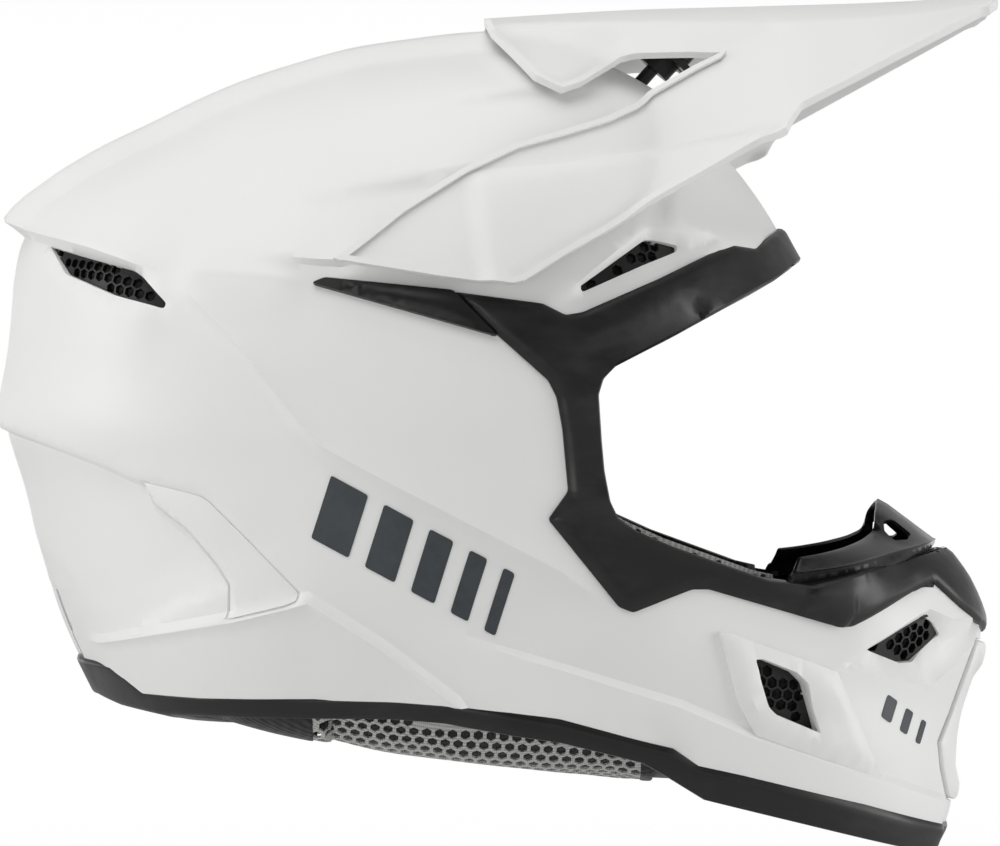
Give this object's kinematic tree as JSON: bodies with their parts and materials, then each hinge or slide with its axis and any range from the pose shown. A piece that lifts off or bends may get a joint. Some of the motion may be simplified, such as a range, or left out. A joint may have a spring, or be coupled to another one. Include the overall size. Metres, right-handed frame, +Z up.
{
  "type": "motocross helmet",
  "caption": "Off-road full-face helmet with an adjustable peak, open eye port, vented chin bar, foam liner, comfort pads and a ring-fastened chin strap.",
  "frame": {"origin": "where the top of the wearer's head touches the crown pad, on the plane of symmetry", "axes": "+X forward out of the eye port, +Y to the wearer's left, +Z up, with the helmet as it is worn by a standing rider"},
  "size_m": [0.3704, 0.244, 0.3131],
  "materials": {
    "shell_white": "matte white lacquer over moulded plastic",
    "trim_black": "satin moulded rubber-like plastic",
    "fitting_black": "fine-textured nylon",
    "guard_black": "glossy flexible plastic",
    "grille_black": "moulded honeycomb",
    "impact_foam": "beaded expanded polystyrene",
    "filter_foam": "open-cell foam",
    "comfort_fabric": "brushed knit over foam",
    "mesh_fabric": "silver-grey spacer mesh",
    "webbing": "woven nylon",
    "steel": "satin stainless"
  },
  "bodies": {
    "helmet": {"outer_shell": "shell_white", "eps_liner": "impact_foam", "chin_bar_foam": "impact_foam", "eyeport_trim": "trim_black", "bottom_edge_trim": "trim_black", "peak_screw_boss": "fitting_black", "mouthpiece": "shell_white", "mouth_grille": "grille_black", "mouth_filter": "filter_foam", "nose_guard": "guard_black", "neck_roll": "comfort_fabric", "crown_pad": "comfort_fabric", "brow_pad": "comfort_fabric", "rear_pad": "comfort_fabric", "peak_side_screw_right": "steel", "side_screw_cover_right": "trim_black", "rear_side_panel_right": "shell_white", "chin_vent_bezel_right": "shell_white", "side_pad_right": "comfort_fabric", "cheek_pad_right": "mesh_fabric", "strap_riser_right": "webbing", "strap_hanger_right": "steel", "brow_vent_grille_right": "grille_black", "rear_vent_grille_right": "grille_black", "exhaust_vent_grille_right": "grille_black", "chin_vent_grille_right": "grille_black", "upper_chin_vent_grille_right": "grille_black", "cheek_pad_snap_right_1": "fitting_black", "cheek_pad_snap_right_2": "fitting_black", "peak_side_screw_left": "steel", "side_screw_cover_left": "trim_black", "rear_side_panel_left": "shell_white", "chin_vent_bezel_left": "shell_white", "side_pad_left": "comfort_fabric", "cheek_pad_left": "mesh_fabric", "strap_riser_left": "webbing", "strap_hanger_left": "steel", "brow_vent_grille_left": "grille_black", "rear_vent_grille_left": "grille_black", "exhaust_vent_grille_left": "grille_black", "chin_vent_grille_left": "grille_black", "upper_chin_vent_grille_left": "grille_black", "cheek_pad_snap_left_1": "fitting_black", "cheek_pad_snap_left_2": "fitting_black"},
    "peak": {"peak": "shell_white", "peak_bracket": "fitting_black"},
    "thumb_screw": {"peak_thumb_screw": "fitting_black"},
    "chin_strap": {"chin_strap_long": "webbing", "chin_strap_short": "webbing", "chin_strap_pad": "comfort_fabric", "strap_end_tab": "fitting_black", "strap_snap_button": "steel", "d_ring_upper": "steel", "d_ring_lower": "steel"}
  },
  "joints": [
    {"name": "peak_tilt", "type": "hinge", "parent": "helmet", "child": "peak", "pos_m": [0.016, 0, -0.047], "axis": [0, -1, 0], "range_deg": [0, 10]},
    {"name": "thumb_screw_turn", "type": "hinge", "parent": "helmet", "child": "thumb_screw", "pos_m": [0.016, 0, -0.047], "axis": [0.6691, 0, 0.7431], "continuous": true},
    {"name": "chin_strap_swing", "type": "hinge", "parent": "helmet", "child": "chin_strap", "pos_m": [0.008, 0, -0.186], "axis": [0, 1, 0], "range_deg": [-35, 35]}
  ]
}
